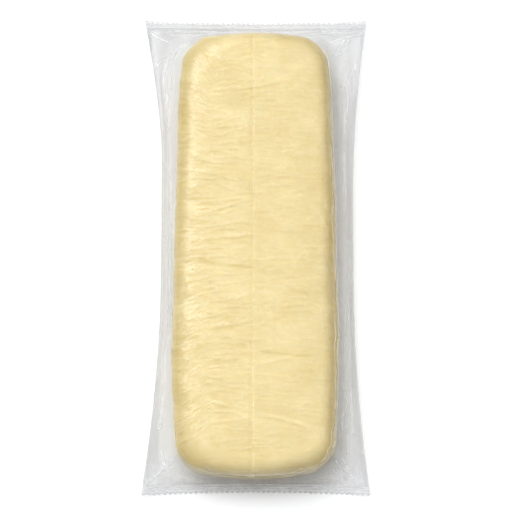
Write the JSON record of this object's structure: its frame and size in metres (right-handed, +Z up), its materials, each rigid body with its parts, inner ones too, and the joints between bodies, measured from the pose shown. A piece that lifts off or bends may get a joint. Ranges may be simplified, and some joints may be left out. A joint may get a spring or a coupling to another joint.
{
  "type": "cheese block",
  "caption": "Long loaf of pale yellow cheese, sealed in a clear film bag with tooth-cut seals across its ends, lying flat.",
  "frame": {"origin": "centre of the pack's footprint, on the surface it lies on", "axes": "+X across the pack, +Y along it towards the seal further from the loaf, +Z up through the loaf's face"},
  "size_m": [0.13, 0.2779, 0.0435],
  "materials": {
    "cheese": "pale yellow cheese, smooth and a little moist, softly glossy",
    "clear_film": "thin clear plastic film, glossy and wrinkled"
  },
  "bodies": {
    "root": {"cheese_loaf": "cheese", "film_bag": "clear_film"}
  },
  "joints": []
}
